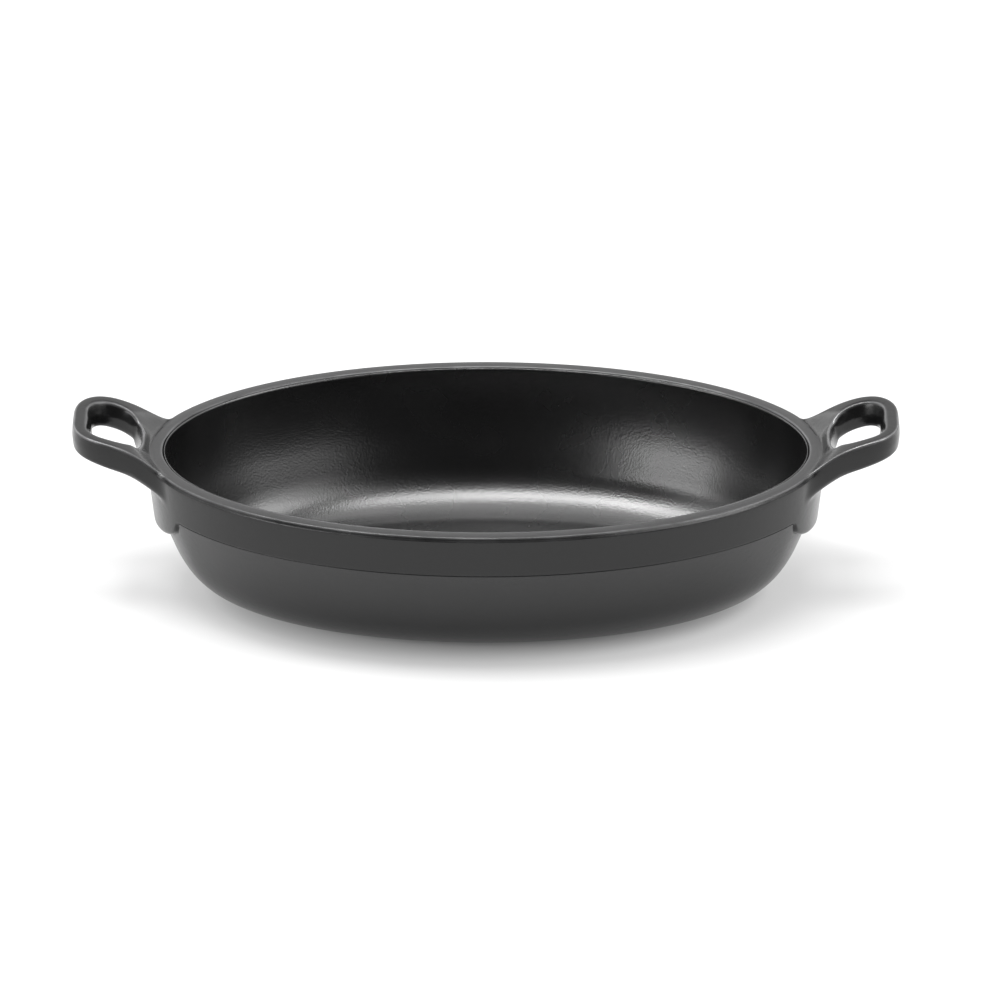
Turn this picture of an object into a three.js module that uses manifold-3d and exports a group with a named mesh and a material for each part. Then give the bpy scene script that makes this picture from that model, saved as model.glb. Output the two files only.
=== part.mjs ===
// Oval cast pan with two loop handles: base, wall, rim band, handles, handle supports and inner coating.
// Millimetres, +Z up. The origin is the middle of the base, on the surface that the pan stands on,
// and +X runs along the pan's length to the right handle.
import * as THREE from 'three';
import { mergeVertices } from 'three/addons/utils/BufferGeometryUtils.js';
import Module from 'manifold-3d';

const wasm = await Module();
wasm.setup();

// Overall sizes of the bowl and its rim
const RIM_LENGTH = 280;
const RIM_WIDTH = 183.4;
const RIM_HEIGHT = 62;
const LAND_WIDTH = 5.1;
const RIM_CHAMFER = 1.9;
const BAND_HEIGHT = 17.4;
const BAND_DRAFT = THREE.MathUtils.degToRad(6.5);
const BAND_STEP = 0.3;

// Lower wall, base and the inside of the bowl
const WALL_DRAFT = THREE.MathUtils.degToRad(22);
const WALL_THICKNESS = 5;
const BASE_THICKNESS = 5;
const BASE_CORNER_RADIUS = 31;
const KNEE_RADIUS = 60;
const COAT_THICKNESS = 0.4;
const COAT_EDGE_DROP = 0.3;

// Loop handles: plan outline, finger hole and section
const HANDLE_REACH = 30;
const HANDLE_RISE = 14;
const HANDLE_ROOT_WIDTH = 52.6;
const HANDLE_TAPER = THREE.MathUtils.degToRad(14.5);
const HANDLE_CORNER_RADIUS = 13;
const HANDLE_TIP_CROWN = 2;
const HANDLE_TOP_RADIUS = 51.6;
const HANDLE_ROOT_DEPTH = 12;
const HANDLE_TIP_DEPTH = 9.2;
const HANDLE_ROOT_FILLET = 7;
const HANDLE_ROOT_TURN = THREE.MathUtils.degToRad(18);
const HANDLE_EDGE = 1.1;
const TIP_BAR = 6.5;
const HOLE_LENGTH = 22.2;
const HOLE_WIDTH = 38.4;
const HOLE_INNER_RADIUS = 12;
const HOLE_OUTER_RADIUS = 9;
const HOLE_RIDGE = 1.1;
const SIDE_RIDGE = 0.4;
const RISER_WIDTH = 4.2;

// Supports under the handles
const SUPPORT_WIDTH = 72;
const SUPPORT_DROP = 12.5;
const SUPPORT_EDGE = 3.5;
const SUPPORT_SEAT = 2;
const SUPPORT_FULLNESS = 2.4;

// Gaps between neighbours, and the fineness of the facets
const SEAT_GAP = 0.3;
const COAT_GAP = 0.1;
const SEGMENTS = 72;
const CORNER_STEPS = 7;
const KNEE_STEPS = 4;
const FACE_STEPS = 6;
const HANDLE_SPAN_STEPS = [3, 6, 6, 4];
const BEND_PULL = 0.36;
const MERGE_TOLERANCE = 1e-4;

// Heights and insets that follow from the driving sizes. An inset is measured inwards from the
// outside of the rim band, and is taken from both half axes of the oval.
const HALF_LENGTH = RIM_LENGTH / 2;
const HALF_WIDTH = RIM_WIDTH / 2;
const BAND_FOOT = RIM_HEIGHT - BAND_HEIGHT;
const BAND_TOP = RIM_HEIGHT - RIM_CHAMFER;
const LAND_INNER = RIM_CHAMFER + LAND_WIDTH;
const BAND_FOOT_INSET = bandInset(BAND_FOOT);
const WALL_INSET = BAND_FOOT_INSET + BAND_STEP;
const CAVITY_INSET = WALL_INSET + WALL_THICKNESS / Math.cos(WALL_DRAFT);
const FLOOR_CORNER_RADIUS = BASE_CORNER_RADIUS - WALL_THICKNESS;
const SUPPORT_RUN = WALL_THICKNESS + SUPPORT_DROP * Math.tan(WALL_DRAFT);
const HANDLE_TIP = HALF_LENGTH + HANDLE_REACH;
const HANDLE_START = HALF_LENGTH - HANDLE_ROOT_FILLET;

function bandInset(z) {
  return (BAND_TOP - z) * Math.tan(BAND_DRAFT);
}

function wallInset(z) {
  return WALL_INSET + (BAND_FOOT - z) * Math.tan(WALL_DRAFT);
}

// A profile is a list of points with x as the inset and y as the height.
function row(inset, z) {
  return new THREE.Vector2(inset, z);
}

// Arc that rounds the corner between two straight stretches of a profile.
function roundedCorner(before, corner, after, radius, steps) {
  const back = before.clone().sub(corner).normalize();
  const ahead = after.clone().sub(corner).normalize();
  const half = Math.acos(back.dot(ahead)) / 2;
  const bisector = back.clone().add(ahead).normalize();
  const centre = corner.clone().addScaledVector(bisector, radius / Math.sin(half));
  const start = corner.clone().addScaledVector(back, radius / Math.tan(half)).sub(centre);
  const turn = (Math.PI - 2 * half) * Math.sign(start.cross(bisector.clone().negate()));
  const points = [];
  for (let i = 0; i <= steps; i += 1) {
    const angle = (turn * i) / steps;
    points.push(start.clone().rotateAround(new THREE.Vector2(), angle).add(centre));
  }
  return points;
}

// Outside of the lower wall, from the foot of the band down to the edge of the flat base.
function outerWall(inset = 0) {
  const top = row(wallInset(BAND_FOOT) + inset, BAND_FOOT);
  const corner = row(wallInset(0) + inset, 0);
  const middle = row(HALF_WIDTH, 0);
  return [top, ...roundedCorner(top, corner, middle, BASE_CORNER_RADIUS, CORNER_STEPS)];
}

// Inside of the bowl, from the rim down to the edge of the flat floor, moved inwards by an offset.
function cavityWall(offset, topHeight) {
  const bandSlope = (CAVITY_INSET - LAND_INNER) / BAND_HEIGHT;
  const wallSlope = Math.tan(WALL_DRAFT);
  const bandShift = offset * Math.hypot(1, bandSlope);
  const wallShift = offset * Math.hypot(1, wallSlope);
  const kneeHeight = BAND_FOOT + (wallShift - bandShift) / (wallSlope - bandSlope);
  const bandLine = (z) => LAND_INNER + bandShift + (RIM_HEIGHT - z) * bandSlope;
  const wallLine = (z) => CAVITY_INSET + wallShift + (BAND_FOOT - z) * wallSlope;
  const floor = BASE_THICKNESS + offset;
  const top = row(bandLine(topHeight), topHeight);
  const knee = row(bandLine(kneeHeight), kneeHeight);
  const corner = row(wallLine(floor), floor);
  const middle = row(HALF_WIDTH, floor);
  return [
    top,
    ...roundedCorner(top, knee, corner, KNEE_RADIUS - offset, KNEE_STEPS),
    ...roundedCorner(knee, corner, middle, FLOOR_CORNER_RADIUS - offset, CORNER_STEPS),
  ];
}

// The two stretches of a profile above and below one height, both with a point at that height.
function splitAt(profile, z) {
  const next = profile.findIndex((point) => point.y < z);
  const upper = profile[next - 1];
  const lower = profile[next];
  const cut = upper.clone().lerp(lower, (upper.y - z) / (upper.y - lower.y));
  cut.y = z;
  const above = profile.slice(0, next).filter((point) => point.y > z);
  return { above: [...above, cut], below: [cut, ...profile.slice(next)] };
}

// Closed mesh from a grid of points: rings of equal length, joined in order, with either a pole at
// each end or the last ring joined back to the first.
function ringMesh(rings, poles) {
  const count = rings[0].length;
  const points = rings.flat();
  const index = [];
  const links = poles ? rings.length - 1 : rings.length;
  for (let j = 0; j < links; j += 1) {
    const low = j * count;
    const high = ((j + 1) % rings.length) * count;
    for (let i = 0; i < count; i += 1) {
      const next = (i + 1) % count;
      index.push(low + i, low + next, high + next);
      index.push(low + i, high + next, high + i);
    }
  }
  if (poles) {
    const last = (rings.length - 1) * count;
    const first = points.push(poles[0]) - 1;
    const end = points.push(poles[1]) - 1;
    for (let i = 0; i < count; i += 1) {
      const next = (i + 1) % count;
      index.push(first, next, i);
      index.push(end, last + i, last + next);
    }
  }
  const geometry = new THREE.BufferGeometry().setFromPoints(points);
  geometry.setIndex(index);
  return facingOut(geometry);
}

// Turns every face round when the mesh encloses a negative volume.
function facingOut(geometry) {
  const position = geometry.getAttribute('position');
  const order = geometry.getIndex().array;
  const corners = [new THREE.Vector3(), new THREE.Vector3(), new THREE.Vector3()];
  let volume = 0;
  for (let i = 0; i < order.length; i += 3) {
    corners.forEach((corner, k) => corner.fromBufferAttribute(position, order[i + k]));
    volume += corners[0].dot(corners[1].clone().cross(corners[2]));
  }
  if (volume < 0) {
    geometry.setIndex(Array.from(order).reverse());
  }
  return geometry;
}

// Ring of points round the oval at one profile row.
function ovalRing({ x: inset, y: z }) {
  const ring = [];
  for (let i = 0; i < SEGMENTS; i += 1) {
    const angle = (2 * Math.PI * i) / SEGMENTS;
    const x = (HALF_LENGTH - inset) * Math.cos(angle);
    const y = (HALF_WIDTH - inset) * Math.sin(angle);
    ring.push(new THREE.Vector3(x, y, z));
  }
  return ring;
}

// Oval body from a profile that runs from the axis out and back to the axis.
function ovalBody(profile) {
  const poles = [profile[0], profile[profile.length - 1]].map(({ y }) => new THREE.Vector3(0, 0, y));
  return ringMesh(profile.map(ovalRing), poles);
}

// Oval ring from a profile that closes on itself.
function ovalHoop(profile) {
  return ringMesh(profile.map(ovalRing), null);
}

function toSolid(geometry) {
  const bare = geometry.clone();
  bare.deleteAttribute('normal');
  bare.deleteAttribute('uv');
  const merged = mergeVertices(bare, MERGE_TOLERANCE);
  return new wasm.Manifold(new wasm.Mesh({
    numProp: 3,
    vertProperties: new Float32Array(merged.getAttribute('position').array),
    triVerts: new Uint32Array(merged.getIndex().array),
  }));
}

function toGeometry(solid) {
  const mesh = solid.getMesh();
  const geometry = new THREE.BufferGeometry();
  geometry.setAttribute('position', new THREE.BufferAttribute(new Float32Array(mesh.vertProperties), 3));
  geometry.setIndex(Array.from(mesh.triVerts));
  return geometry;
}

// Base of the bowl: the flat floor and the rounded corner round it.
function bowlBase() {
  const outside = outerWall().slice(1).reverse();
  const top = outside[outside.length - 1].y;
  const inside = splitAt(cavityWall(0, RIM_HEIGHT), top).below;
  return ovalBody([...outside, ...inside]);
}

// Sloping wall from the corner of the base up to the foot of the band, with a shallow seat for each
// handle support.
function bowlWall() {
  const [top, corner] = outerWall();
  const inside = splitAt(splitAt(cavityWall(0, RIM_HEIGHT), top.y).below, corner.y).above;
  const seat = toGeometry(supportSeat());
  const seats = toSolid(seat).add(toSolid(seat.clone().rotateZ(Math.PI)));
  return toGeometry(toSolid(ovalHoop([corner, top, ...inside])).subtract(seats));
}

// Band round the rim: land on top, chamfer on its outer edge, drafted face and flat foot.
function rimBand() {
  const inside = splitAt(cavityWall(0, RIM_HEIGHT), BAND_FOOT).above.reverse();
  return ovalHoop([
    ...inside,
    row(RIM_CHAMFER, RIM_HEIGHT),
    row(0, BAND_TOP),
    row(BAND_FOOT_INSET, BAND_FOOT),
  ]);
}

// Lining of the inside, a thin shell that ends just under the land.
function innerCoating() {
  const top = RIM_HEIGHT - COAT_EDGE_DROP;
  const back = cavityWall(COAT_GAP, top).reverse();
  const face = cavityWall(COAT_GAP + COAT_THICKNESS, top);
  return ovalBody([...back, ...face]);
}

// Outline of a support about the middle of the band's foot, seen from the end of the pan: a broad tongue
// with full round corners. It is drawn whole, and the half below the band is kept.
function supportOutline(margin) {
  const steps = 8 * CORNER_STEPS;
  const full = (value) => Math.sign(value) * Math.abs(value) ** (2 / SUPPORT_FULLNESS);
  const outline = [];
  for (let i = 0; i < steps; i += 1) {
    const angle = (2 * Math.PI * i) / steps;
    const across = (SUPPORT_WIDTH / 2 + margin) * full(Math.cos(angle));
    outline.push(new THREE.Vector2(across, (SUPPORT_DROP + margin) * full(Math.sin(angle))));
  }
  return outline;
}

// Point on the band's face carried on downwards, at the right end of the pan and set in by a depth.
function facePoint(place, depth) {
  const z = BAND_FOOT + place.y;
  const inset = bandInset(z) + depth;
  const share = place.x / (HALF_WIDTH - inset);
  return new THREE.Vector3((HALF_LENGTH - inset) * Math.sqrt(1 - share ** 2), place.x, z);
}

// Ring round a support. No turn lies on its face and a quarter turn on its side, and the rounding between
// them is no deeper than the face stands out from the lower wall.
function supportRing(outline, turn, spread) {
  return outline.map((point) => {
    const z = BAND_FOOT - Math.abs(point.y);
    const edge = Math.min(SUPPORT_EDGE, wallInset(z) - bandInset(z));
    const reach = point.length() - edge * (1 - Math.sin(turn));
    return facePoint(point.clone().setLength(reach * spread), edge * (1 - Math.cos(turn)));
  });
}

// Block from a front face back into the wall, as far as the bottom of the seat.
function supportBlock(rings, lead, margin) {
  const middle = new THREE.Vector2();
  const back = supportOutline(margin).map((point) => facePoint(point, SUPPORT_RUN));
  const block = ringMesh([...rings, back], [facePoint(middle, lead), facePoint(middle, SUPPORT_RUN)]);
  const inset = (SUPPORT_SEAT + margin) / Math.cos(WALL_DRAFT);
  const top = row(wallInset(BAND_TOP) + inset, BAND_TOP);
  return toSolid(block).subtract(toSolid(ovalBody([...outerWall(inset).reverse(), top])));
}

// Space for a support in the lower wall, with the seat gap all round.
function supportSeat() {
  const front = supportOutline(SEAT_GAP).map((point) => facePoint(point, -SUPPORT_RUN));
  return supportBlock([front], -SUPPORT_RUN, SEAT_GAP);
}

// Support: the band's drafted face carried on downwards, with a rounded edge that dies out at the band.
function handleSupport() {
  const outline = supportOutline(0);
  const rings = [];
  for (let i = 1; i < FACE_STEPS; i += 1) {
    rings.push(supportRing(outline, 0, i / FACE_STEPS));
  }
  for (let i = 0; i <= CORNER_STEPS; i += 1) {
    rings.push(supportRing(outline, (Math.PI / 2) * (i / CORNER_STEPS), 1));
  }
  return toGeometry(supportBlock(rings, 0, 0).trimByPlane([0, 0, -1], -BAND_FOOT));
}

// Smooth stretch of an outline between two points with given directions.
function bend(from, fromAngle, to, toAngle) {
  const pull = from.distanceTo(to) * BEND_PULL;
  const leave = new THREE.Vector2(pull, 0).rotateAround(new THREE.Vector2(), fromAngle).add(from);
  const arrive = new THREE.Vector2(-pull, 0).rotateAround(new THREE.Vector2(), toAngle).add(to);
  return new THREE.CubicBezierCurve(from, leave, arrive, to);
}

// Half of the finger hole's outline in plan, from its inner end round to its outer end.
function holeSpans() {
  const outer = HANDLE_TIP - TIP_BAR;
  const inner = outer - HOLE_LENGTH;
  const side = HOLE_WIDTH / 2;
  const innerCut = HOLE_INNER_RADIUS * (1 - Math.SQRT1_2);
  const outerCut = HOLE_OUTER_RADIUS * (1 - Math.SQRT1_2);
  const innerTurn = new THREE.Vector2(inner + innerCut, side - innerCut);
  const outerTurn = new THREE.Vector2(outer - outerCut, side - outerCut);
  const middle = new THREE.Vector2(inner + HOLE_INNER_RADIUS, side);
  return [
    bend(new THREE.Vector2(inner, 0), Math.PI / 2, innerTurn, Math.PI / 4),
    bend(innerTurn, Math.PI / 4, middle, 0),
    bend(middle, 0, outerTurn, -Math.PI / 4),
    bend(outerTurn, -Math.PI / 4, new THREE.Vector2(outer, 0), -Math.PI / 2),
  ];
}

// Half of the handle's outline in plan. It starts inside the band, leaves it in a fillet, runs along
// the tapered side and turns round the corner to the middle of the tip.
function handleSpans() {
  const rootSide = HANDLE_ROOT_WIDTH / 2;
  const sideAt = (x) => rootSide - (x - HALF_LENGTH) * Math.tan(HANDLE_TAPER);
  const filletY = rootSide + HANDLE_ROOT_FILLET;
  const filletX = HALF_LENGTH * Math.sqrt(1 - (filletY / HALF_WIDTH) ** 2) - RIM_CHAMFER;
  const fillet = new THREE.Vector2(filletX, filletY);
  const rimSlope = Math.atan2(-filletX * HALF_WIDTH ** 2, filletY * HALF_LENGTH ** 2);
  const leaving = rimSlope + HANDLE_ROOT_TURN;
  const sideX = HALF_LENGTH + HANDLE_ROOT_FILLET;
  const side = new THREE.Vector2(sideX, sideAt(sideX));
  const cornerX = HANDLE_TIP - HANDLE_TIP_CROWN - HANDLE_CORNER_RADIUS;
  const cornerY = sideAt(cornerX) - HANDLE_CORNER_RADIUS / Math.cos(HANDLE_TAPER);
  const bisector = (Math.PI / 2 - HANDLE_TAPER) / 2;
  const corner = new THREE.Vector2(HANDLE_CORNER_RADIUS, 0)
    .rotateAround(new THREE.Vector2(), bisector)
    .add(new THREE.Vector2(cornerX, cornerY));
  const tip = new THREE.Vector2(HANDLE_TIP, 0);
  const root = new THREE.Vector2(HALF_LENGTH - LAND_INNER, 0);
  return [
    new THREE.LineCurve(root, fillet),
    bend(fillet, leaving, side, -HANDLE_TAPER),
    bend(side, -HANDLE_TAPER, corner, bisector - Math.PI / 2),
    bend(corner, bisector - Math.PI / 2, tip, -Math.PI / 2),
  ];
}

// Whole outline from its half: the stations of every span, then the same mirrored in Y.
function wholeOutline(spans) {
  const half = spans.flatMap((span, i) => span.getSpacedPoints(HANDLE_SPAN_STEPS[i]).slice(0, -1));
  const tip = spans[spans.length - 1].getPoint(1);
  const mirrored = half.slice(1).reverse().map(({ x, y }) => new THREE.Vector2(x, -y));
  return [...half, tip, ...mirrored];
}

// Height of the handle's top: an arc that levels out near the tip.
function handleTop(x) {
  const fromTip = Math.max(HANDLE_TIP - HANDLE_TIP_CROWN - x, 0);
  const drop = HANDLE_TOP_RADIUS - Math.sqrt(HANDLE_TOP_RADIUS ** 2 - fromTip ** 2);
  return RIM_HEIGHT + HANDLE_RISE - drop;
}

// Height of the handle's underside, which is level where the root runs into the band.
function handleBottom(x) {
  const along = Math.max(x, HANDLE_START);
  const share = (along - HALF_LENGTH) / HANDLE_REACH;
  return handleTop(along) - THREE.MathUtils.lerp(HANDLE_ROOT_DEPTH, HANDLE_TIP_DEPTH, share);
}

// Section of the loop at one station: chamfered edges, and walls that swell to a ridge at mid height.
function handleSection(hole, edge) {
  const across = edge.clone().sub(hole).normalize();
  const at = (from, shift, lift) => {
    const plan = from.clone().addScaledVector(across, shift);
    const z = THREE.MathUtils.lerp(handleTop(plan.x), handleBottom(plan.x), lift);
    return new THREE.Vector3(plan.x, plan.y, z);
  };
  const rim = HANDLE_EDGE / HANDLE_ROOT_DEPTH;
  return [
    at(hole, HANDLE_EDGE, 0),
    at(edge, -SIDE_RIDGE - HANDLE_EDGE, 0),
    at(edge, -SIDE_RIDGE, rim),
    at(edge, 0, 0.5),
    at(edge, -SIDE_RIDGE, 1 - rim),
    at(edge, -SIDE_RIDGE - HANDLE_EDGE, 1),
    at(hole, HANDLE_EDGE, 1),
    at(hole, 0, 1 - rim),
    at(hole, -HOLE_RIDGE, 0.5),
    at(hole, 0, rim),
  ];
}

// Space above the rim that the handle's root rises out of, in a steep hollow curve from the land.
function riserSpace() {
  const lift = HANDLE_RISE + HANDLE_EDGE;
  const profile = [row(RIM_CHAMFER, RIM_HEIGHT)];
  for (let i = 1; i <= CORNER_STEPS; i += 1) {
    const share = i / CORNER_STEPS;
    const spread = (Math.sqrt(share) * (1 + share)) / 2;
    profile.push(row(RIM_CHAMFER - RISER_WIDTH * spread, RIM_HEIGHT + lift * share));
  }
  return ovalBody(profile);
}

// Space that the band takes up, with the seat gap all round.
function bandSpace() {
  return ovalBody([
    row(BAND_FOOT_INSET - SEAT_GAP, BAND_FOOT),
    row(-SEAT_GAP, BAND_TOP),
    row(RIM_CHAMFER - SEAT_GAP, RIM_HEIGHT + SEAT_GAP),
  ]);
}

// Loop handle at the right end, cut to the band that it grows out of.
function loopHandle() {
  const holes = wholeOutline(holeSpans());
  const edges = wholeOutline(handleSpans());
  const loop = ringMesh(holes.map((hole, i) => handleSection(hole, edges[i])), null);
  return toGeometry(toSolid(loop).subtract(toSolid(bandSpace())).subtract(toSolid(riserSpace())));
}

function castMaterial() {
  return new THREE.MeshStandardMaterial({ color: 0x3a3a3b, roughness: 0.6, metalness: 0.4 });
}

function coatMaterial() {
  return new THREE.MeshStandardMaterial({ color: 0x1b1b1c, roughness: 0.35, metalness: 0 });
}

function addPiece(group, name, geometry, material, turn = 0) {
  const mesh = new THREE.Mesh(geometry, material);
  mesh.name = name;
  mesh.rotation.z = turn;
  group.add(mesh);
}

const pan = new THREE.Group();
addPiece(pan, 'bowl_base', bowlBase(), castMaterial());
addPiece(pan, 'bowl_wall', bowlWall(), castMaterial());
addPiece(pan, 'rim_band', rimBand(), castMaterial());
addPiece(pan, 'handle_right', loopHandle(), castMaterial());
addPiece(pan, 'handle_left', loopHandle(), castMaterial(), Math.PI);
addPiece(pan, 'handle_support_right', handleSupport(), castMaterial());
addPiece(pan, 'handle_support_left', handleSupport(), castMaterial(), Math.PI);
addPiece(pan, 'inner_coating', innerCoating(), coatMaterial());

export default pan;
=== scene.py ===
"""Oval cast pan: the seamless casting with its loop handles, the coat on its inside and a plain studio."""
import math

import bmesh
import bpy
import numpy as np
from bpy.props import FloatProperty, FloatVectorProperty, IntProperty, PointerProperty
from mathutils import Matrix, Vector
from mathutils.geometry import interpolate_bezier


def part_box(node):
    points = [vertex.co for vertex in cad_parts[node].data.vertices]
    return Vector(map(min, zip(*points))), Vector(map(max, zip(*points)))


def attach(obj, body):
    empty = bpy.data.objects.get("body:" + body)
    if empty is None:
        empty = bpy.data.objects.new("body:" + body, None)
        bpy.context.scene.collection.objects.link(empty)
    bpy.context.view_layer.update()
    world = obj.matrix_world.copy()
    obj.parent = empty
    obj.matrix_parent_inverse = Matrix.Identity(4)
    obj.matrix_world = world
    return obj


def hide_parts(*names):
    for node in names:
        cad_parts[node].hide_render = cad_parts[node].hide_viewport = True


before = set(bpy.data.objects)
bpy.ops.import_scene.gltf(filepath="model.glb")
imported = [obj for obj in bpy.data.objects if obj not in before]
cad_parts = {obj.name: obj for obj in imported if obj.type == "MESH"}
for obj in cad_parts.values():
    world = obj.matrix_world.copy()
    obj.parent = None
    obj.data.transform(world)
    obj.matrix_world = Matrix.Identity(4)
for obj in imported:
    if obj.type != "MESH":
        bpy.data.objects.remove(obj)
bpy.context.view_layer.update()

bl_info = {
    "name": "Oval Pan",
    "version": (1, 0, 0),
    "blender": (4, 5, 0),
    "location": "View3D > Sidebar > Oval Pan",
    "description": "Builds an oval cast pan with two loop handles and a coated inside",
    "category": "Add Mesh",
}

CAST_NODES = (
    "bowl_base", "bowl_wall", "rim_band", "handle_right", "handle_left",
    "handle_support_right", "handle_support_left",
)
COAT_NODE = "inner_coating"


def extent(node):
    """Lowest corner and size of a node of the frame."""
    low, high = (Vector(corner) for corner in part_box(node))
    return low, high - low


BAND_LOW, BAND_SIZE = extent("rim_band")
LOOP_LOW, LOOP_SIZE = extent("handle_right")
SUPPORT_SIZE = extent("handle_support_right")[1]
RIM_HEIGHT = BAND_LOW.z + BAND_SIZE.z
MM = 0.001
# How much deeper the supports are in the photo than in the frame.
SUPPORT_EXTRA = 0.0015


def length(name, default, description):
    """Property for a length in metres."""
    return FloatProperty(name=name, description=description, default=default, unit="LENGTH", precision=5)


def turn(name, degrees, description):
    """Property for an angle."""
    return FloatProperty(
        name=name, description=description, default=math.radians(degrees), subtype="ANGLE")


def shade(name, default, description):
    """Property for a number from 0 to 1."""
    return FloatProperty(
        name=name, description=description, default=default, min=0.0, max=1.0, subtype="FACTOR")


def tint(name, default, description):
    """Property for a colour."""
    return FloatVectorProperty(
        name=name, description=description, default=default, size=3, min=0.0, max=1.0, subtype="COLOR")


def group(name, settings):
    """Property for a group of settings."""
    return PointerProperty(name=name, description=settings.__doc__.rstrip("."), type=settings)


class PanBodySettings(bpy.types.PropertyGroup):
    """Sizes of the bowl and its rim."""

    rim_length: length("Rim length", BAND_SIZE.x, "Length of the rim without the handles")
    rim_width: length("Rim width", BAND_SIZE.y, "Width of the rim")
    rim_height: length("Rim height", RIM_HEIGHT, "Height of the rim above the floor")
    band_height: length("Band height", BAND_SIZE.z, "Height of the steep band round the rim")
    band_draft: turn("Band draft", 6.5, "Slope of the band's face")
    band_step: length("Band step", 0.0003, "How far the band stands out from the lower wall")
    land_width: length("Land width", 0.0056, "Width of the flat land on the rim")
    land_fall: length("Land fall", 0.00016, "How far the land falls away towards its outer edge")
    inner_edge: length("Inner edge", 0.0005, "Rounding of the land's inner edge")
    chamfer: length("Chamfer height", 0.0019, "Height of the chamfer on the rim's outer edge")
    chamfer_width: length("Chamfer width", 0.0014, "Width of the chamfer on the rim's outer edge")
    chamfer_edge: length("Chamfer edge", 0.00025, "Rounding between the chamfer and the band")
    rim_edge: length("Rim edge", 0.00012, "Rounding of the rim's edges")
    foot_edge: length("Foot edge", 0.0005, "Rounding of the band's lower edge")
    foot_groove: length("Foot groove", 0.00038, "Depth of the fine groove under the band")
    wall_draft: turn("Wall draft", 22.0, "Slope of the lower wall")
    wall_thickness: length("Wall thickness", 0.005, "Thickness of the wall and the base")
    corner_radius: length("Corner radius", 0.031, "Radius of the corner between wall and base")
    knee_radius: length("Knee radius", 0.086, "Rounding inside where the band meets the lower wall")


class PanHandleSettings(bpy.types.PropertyGroup):
    """Sizes of the loop handles and of the supports under them."""

    tip: length("Tip", LOOP_LOW.x + LOOP_SIZE.x, "Distance from the middle of the pan to the tip")
    top: length("Top", LOOP_LOW.z + LOOP_SIZE.z, "Height of the handle's highest line")
    root_width: length("Root width", 0.0536, "Width of the handle at the rim")
    taper: turn("Taper", 8.0, "Angle by which each side runs in")
    corner_radius: length("Corner radius", 0.0115, "Radius of the outer corners")
    tip_crown: length("Tip crown", 0.002, "How far the tip bows out")
    top_radius: length("Top radius", 0.0516, "Radius of the upward sweep")
    root_depth: length("Root depth", 0.0126, "Depth of the section at the rim")
    tip_depth: length("Tip depth", 0.0092, "Depth of the section at the tip")
    root_fillet: length("Root fillet", 0.003, "Run of the fillet at the root")
    root_turn: turn("Root turn", 18.0, "Angle at which the side leaves the rim")
    edge: length("Edge", 0.0005, "Rounding of the loop's outer edges")
    hole_edge: length("Hole edge", 0.0008, "Rounding of the finger hole's edges")
    tip_bar: length("Tip bar", 0.0065, "Width of the bar at the tip")
    hole_length: length("Hole length", 0.0222, "Length of the finger hole")
    hole_width: length("Hole width", 0.0370, "Width of the finger hole")
    hole_inner_radius: length("Hole inner radius", 0.012, "Radius of the hole's corners at the rim")
    hole_outer_radius: length("Hole outer radius", 0.009, "Radius of the hole's corners at the tip")
    hole_ridge: length("Hole ridge", 0.0014, "Height of the parting ridge inside the hole")
    side_ridge: length("Side ridge", 0.0004, "Height of the parting ridge outside")
    support_width: length("Support width", SUPPORT_SIZE.y, "Width of the support under a handle")
    support_drop: length(
        "Support drop", SUPPORT_SIZE.z + SUPPORT_EXTRA, "Height of the support below the band")
    support_edge: length("Support edge", 0.0028, "Rounding of the support's lower edge")
    support_fullness: FloatProperty(
        name="Support fullness", description="How square the support's outline is", default=2.4)
    levels: IntProperty(
        name="Smoothing", description="Subdivision levels of the casting", default=2, min=1, max=2)


class PanCoatSettings(bpy.types.PropertyGroup):
    """Sizes of the coat on the inside."""

    gap: length("Gap", 0.00002, "Gap between the coat and the casting")
    thickness: length("Thickness", 0.0004, "Thickness of the coat")
    edge_drop: length("Edge drop", 0.0005, "How far the coat ends below the land")
    around: IntProperty(name="Around", description="Faces round the oval", default=192)
    rows: IntProperty(name="Rows", description="Faces from the rim to the middle", default=72)


class PanFinishSettings(bpy.types.PropertyGroup):
    """Colours and gloss of the casting, the coat and the floor."""

    cast_colour: tint("Cast colour", (0.005, 0.005, 0.0051), "Colour of the cast surface")
    worn_colour: tint("Worn colour", (0.20, 0.20, 0.203), "Colour of the rubbed edges")
    cast_roughness: shade("Cast roughness", 0.22, "Roughness of the cast surface")
    land_colour: tint("Land colour", (0.03, 0.03, 0.0304), "Colour of the ground land")
    land_roughness: shade("Land roughness", 0.36, "Roughness of the ground land")
    cast_gloss: shade("Cast gloss", 0.45, "Strength of the cast surface's reflections")
    coat_colour: tint("Coat colour", (0.002, 0.002, 0.0021), "Colour of the coat")
    coat_roughness: shade("Coat roughness", 0.27, "Roughness of the coat")
    coat_gloss: shade("Coat gloss", 0.64, "Strength of the coat's reflections")
    worn_gloss: shade("Worn gloss", 0.03, "Strength of the reflections of the coat's floor, dulled by use")
    # The floor's glow is painted light that lifts its shadows; round the pan it is left out as painted shade.
    painted_floor_glow: shade("Floor glow", 0.37, "Brightness of the lit floor")
    floor_colour: tint("Floor colour", (0.38, 0.38, 0.38), "Colour of the floor")


class PanStageSettings(bpy.types.PropertyGroup):
    """Camera and lights."""

    elevation: turn("Elevation", 24.0, "Height of the camera above the horizon")
    distance: length("Distance", 4.0, "Distance of the camera from its aim")
    frame_width: length("Frame width", 0.41132, "Width that the picture takes in")
    aim: FloatVectorProperty(
        name="Aim", description="Point in the middle of the picture",
        default=(0.00576, -0.00874, 0.04237), subtype="TRANSLATION")
    brightness: FloatProperty(
        name="Brightness", description="Strength of all softboxes together", default=1.0)
    rig_radius: length("Rig radius", 2.0, "Distance of the softboxes from the pan")
    fill: FloatProperty(name="Fill", description="Strength of the even light all round", default=0.02)


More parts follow.
